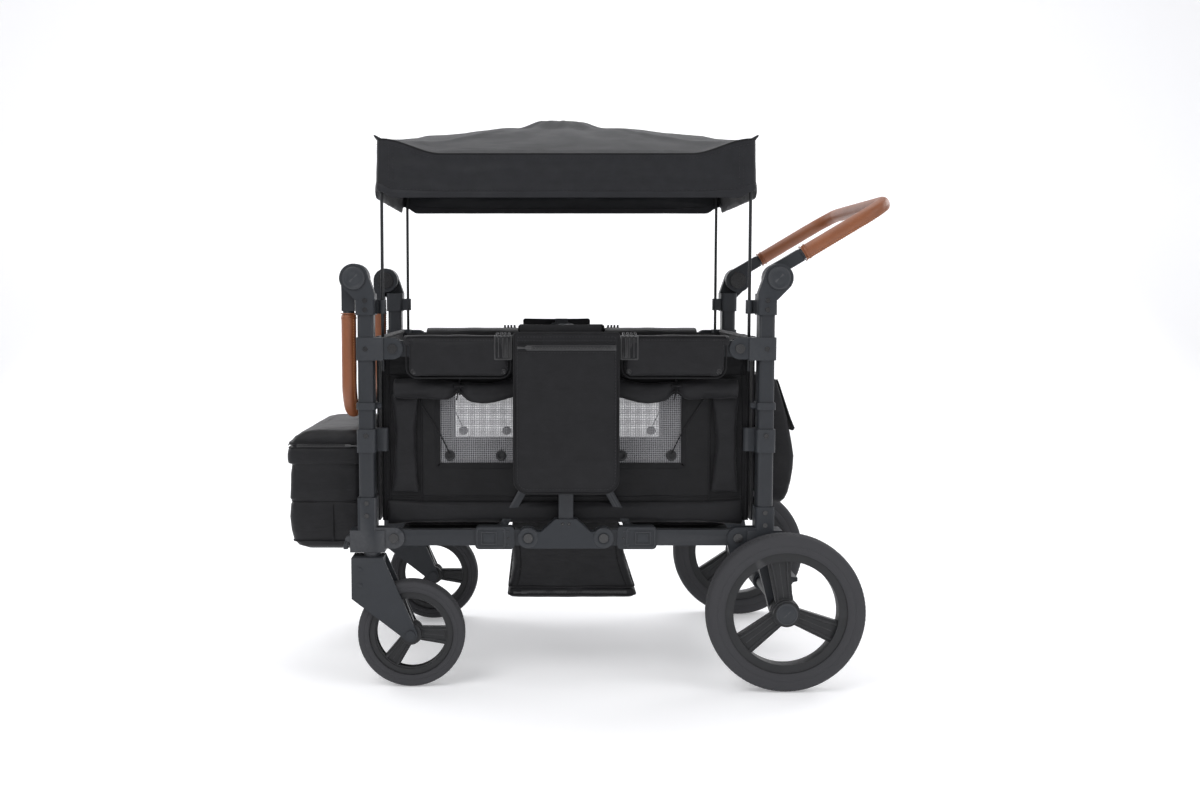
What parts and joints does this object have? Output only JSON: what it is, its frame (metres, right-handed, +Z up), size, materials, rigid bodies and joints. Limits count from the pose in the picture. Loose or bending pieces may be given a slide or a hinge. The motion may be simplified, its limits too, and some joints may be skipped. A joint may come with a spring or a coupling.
{
  "type": "kids pull wagon",
  "caption": "Folding pull wagon for children: square-tube frame on swivel casters and large rear wheels, fabric tub with footwell, rod-held canopy, and tilting U handles at both ends.",
  "frame": {"origin": "middle of the whole outline, at ground level under the wheels", "axes": "+X along the wagon towards the rear wheels and push handle, +Y across to the right-hand side, +Z up"},
  "size_m": [1.1618, 0.664, 1.097],
  "materials": {
    "frame_tube": "satin powder coat",
    "bracket_plastic": "fine grained moulding",
    "button_plastic": "fine grained moulding",
    "fastener": "gloss black",
    "axle_steel": "gloss black wire",
    "rim_plastic": "satin moulding",
    "tyre_rubber": "fine tread",
    "leather": "stitched tan leather",
    "board": "textured board",
    "pad_fabric": "padded polyester",
    "liner_fabric": "woven polyester",
    "bag_fabric": "woven polyester",
    "canopy_fabric": "coated woven polyester"
  },
  "bodies": {
    "rear_frame": {"rear_posts": "frame_tube", "rear_post_heads": "bracket_plastic", "rear_post_brackets": "bracket_plastic", "rear_cross_tubes": "frame_tube", "rear_corner_brackets": "bracket_plastic", "rear_fasteners": "fastener", "rear_end_panel": "liner_fabric", "rear_pocket": "bag_fabric", "rear_axle": "axle_steel"},
    "rear_floor": {"rear_bottom_rails": "frame_tube", "rear_floor_board": "board", "rear_floor_pad": "pad_fabric"},
    "centre_hub": {"hub_plates": "frame_tube", "hub_pins": "fastener", "centre_posts": "frame_tube", "side_pockets": "bag_fabric", "footwell_bag": "liner_fabric"},
    "front_floor": {"front_bottom_rails": "frame_tube", "front_floor_board": "board", "front_floor_pad": "pad_fabric"},
    "front_frame": {"front_posts": "frame_tube", "front_post_heads": "bracket_plastic", "front_post_brackets": "bracket_plastic", "front_cross_tubes": "frame_tube", "front_corner_brackets": "bracket_plastic", "front_fasteners": "fastener", "front_end_panel": "liner_fabric", "front_bag": "bag_fabric", "side_liners": "liner_fabric"},
    "rear_top": {"rear_top_rails": "frame_tube", "rear_rail_flaps": "pad_fabric"},
    "front_top": {"front_top_rails": "frame_tube", "front_rail_flaps": "pad_fabric"},
    "strut_collars": {"strut_collars": "bracket_plastic"},
    "rear_struts": {"rear_struts": "frame_tube"},
    "front_struts": {"front_struts": "frame_tube"},
    "front_canopy": {"front_canopy_hoop": "axle_steel", "canopy_cover": "canopy_fabric"},
    "rear_canopy": {"rear_canopy_hoop": "axle_steel"},
    "rear_handle": {"rear_handle_frame": "frame_tube", "rear_handle_grip": "leather"},
    "front_handle": {"front_handle_frame": "frame_tube", "front_handle_grip": "leather"},
    "brake_pedal": {"brake_pedal": "bracket_plastic"},
    "rear_button_left": {"rear_button_left": "button_plastic"},
    "rear_button_right": {"rear_button_right": "button_plastic"},
    "front_button_left": {"front_button_left": "button_plastic"},
    "front_button_right": {"front_button_right": "button_plastic"},
    "caster_left": {"caster_fork_left": "bracket_plastic"},
    "front_wheel_left": {"front_rim_left": "rim_plastic", "front_tyre_left": "tyre_rubber"},
    "rear_wheel_left": {"rear_rim_left": "rim_plastic", "rear_tyre_left": "tyre_rubber"},
    "lock_lever_left": {"lock_lever_left": "bracket_plastic"},
    "caster_right": {"caster_fork_right": "bracket_plastic"},
    "front_wheel_right": {"front_rim_right": "rim_plastic", "front_tyre_right": "tyre_rubber"},
    "rear_wheel_right": {"rear_rim_right": "rim_plastic", "rear_tyre_right": "tyre_rubber"},
    "lock_lever_right": {"lock_lever_right": "bracket_plastic"}
  },
  "joints": [
    {"name": "fold", "type": "hinge", "parent": "rear_frame", "child": "rear_floor", "pos_m": [0.28509, 0, 0.285], "axis": [0, 1, 0], "range_deg": [0, 70], "deforming": ["side_liners", "footwell_bag", "canopy_cover"]},
    {"name": "hub_level", "type": "hinge", "parent": "rear_floor", "child": "centre_hub", "pos_m": [0.0306, 0, 0.285], "axis": [0, 1, 0], "range_deg": [-70, 0]},
    {"name": "front_floor_fold", "type": "hinge", "parent": "centre_hub", "child": "front_floor", "pos_m": [-0.11241, 0, 0.285], "axis": [0, 1, 0], "range_deg": [-70, 0]},
    {"name": "front_frame_level", "type": "hinge", "parent": "front_floor", "child": "front_frame", "pos_m": [-0.3669, 0, 0.285], "axis": [0, 1, 0], "range_deg": [0, 70]},
    {"name": "rear_top_fold", "type": "hinge", "parent": "rear_frame", "child": "rear_top", "pos_m": [0.28509, 0, 0.644], "axis": [0, 1, 0], "range_deg": [0, 70]},
    {"name": "front_top_fold", "type": "hinge", "parent": "front_frame", "child": "front_top", "pos_m": [-0.3669, 0, 0.644], "axis": [0, 1, 0], "range_deg": [-70, 0]},
    {"name": "collar_slide", "type": "slide", "parent": "centre_hub", "child": "strut_collars", "axis": [0, 0, 1], "range_m": [-0.05234, 0]},
    {"name": "rear_strut_swing", "type": "hinge", "parent": "strut_collars", "child": "rear_struts", "pos_m": [-0.02491, 0, 0.488], "axis": [0, 1, 0], "range_deg": [0, 3.47]},
    {"name": "front_strut_swing", "type": "hinge", "parent": "strut_collars", "child": "front_struts", "pos_m": [-0.0569, 0, 0.488], "axis": [0, 1, 0], "range_deg": [-3.47, 0]},
    {"name": "canopy_height", "type": "slide", "parent": "front_frame", "child": "front_canopy", "axis": [0, 0, 1], "range_m": [-0.15, 0]},
    {"name": "rear_canopy_height", "type": "slide", "parent": "rear_frame", "child": "rear_canopy", "axis": [0, 0, 1], "range_m": [-0.15, 0]},
    {"name": "rear_handle_tilt", "type": "hinge", "parent": "rear_frame", "child": "rear_handle", "pos_m": [0.35609, 0, 0.776], "axis": [0, -1, 0], "range_deg": [-90, 59]},
    {"name": "front_handle_tilt", "type": "hinge", "parent": "front_frame", "child": "front_handle", "pos_m": [-0.4379, 0, 0.776], "axis": [0, 1, 0], "range_deg": [0, 150]},
    {"name": "rear_button_left", "type": "slide", "parent": "rear_frame", "child": "rear_button_left", "axis": [0, 1, 0], "range_m": [0, 0.004], "stiffness_N_per_m": 400},
    {"name": "rear_button_right", "type": "slide", "parent": "rear_frame", "child": "rear_button_right", "axis": [0, -1, 0], "range_m": [0, 0.004], "stiffness_N_per_m": 400},
    {"name": "front_button_left", "type": "slide", "parent": "front_frame", "child": "front_button_left", "axis": [0, 1, 0], "range_m": [0, 0.004], "stiffness_N_per_m": 400},
    {"name": "front_button_right", "type": "slide", "parent": "front_frame", "child": "front_button_right", "axis": [0, -1, 0], "range_m": [0, 0.004], "stiffness_N_per_m": 400},
    {"name": "caster_swivel_left", "type": "hinge", "parent": "front_frame", "child": "caster_left", "pos_m": [-0.40891, -0.272, 0.25], "axis": [0, 0, 1], "continuous": true},
    {"name": "front_wheel_spin_left", "type": "hinge", "parent": "caster_left", "child": "front_wheel_left", "pos_m": [-0.33491, -0.272, 0.1023], "axis": [0, 1, 0], "continuous": true},
    {"name": "rear_wheel_spin_left", "type": "hinge", "parent": "rear_frame", "child": "rear_wheel_left", "pos_m": [0.3711, -0.31, 0.15], "axis": [0, 1, 0], "continuous": true},
    {"name": "lock_lever_left", "type": "hinge", "parent": "front_frame", "child": "lock_lever_left", "pos_m": [-0.45471, -0.262, 0.283], "axis": [0, 1, 0], "range_deg": [0, 40]},
    {"name": "caster_swivel_right", "type": "hinge", "parent": "front_frame", "child": "caster_right", "pos_m": [-0.40891, 0.272, 0.25], "axis": [0, 0, 1], "continuous": true},
    {"name": "front_wheel_spin_right", "type": "hinge", "parent": "caster_right", "child": "front_wheel_right", "pos_m": [-0.33491, 0.272, 0.1023], "axis": [0, 1, 0], "continuous": true},
    {"name": "rear_wheel_spin_right", "type": "hinge", "parent": "rear_frame", "child": "rear_wheel_right", "pos_m": [0.3711, 0.31, 0.15], "axis": [0, 1, 0], "continuous": true},
    {"name": "lock_lever_right", "type": "hinge", "parent": "front_frame", "child": "lock_lever_right", "pos_m": [-0.45471, 0.262, 0.283], "axis": [0, 1, 0], "range_deg": [0, 40]},
    {"name": "brake_pedal", "type": "hinge", "parent": "rear_frame", "child": "brake_pedal", "pos_m": [0.3711, 0, 0.15], "axis": [0, 1, 0], "range_deg": [0, 20]}
  ],
  "couplings": [
    {"joint": "hub_level", "follows": "fold", "ratio": -1},
    {"joint": "front_floor_fold", "follows": "fold", "ratio": -1},
    {"joint": "front_frame_level", "follows": "fold", "ratio": 1},
    {"joint": "rear_top_fold", "follows": "fold", "ratio": 1},
    {"joint": "front_top_fold", "follows": "fold", "ratio": -1},
    {"joint": "collar_slide", "follows": "fold", "m_per_rad": -0.04243},
    {"joint": "rear_strut_swing", "follows": "fold", "ratio": 0.048088},
    {"joint": "front_strut_swing", "follows": "fold", "ratio": -0.048088},
    {"joint": "rear_canopy_height", "follows": "canopy_height", "ratio": 1}
  ]
}
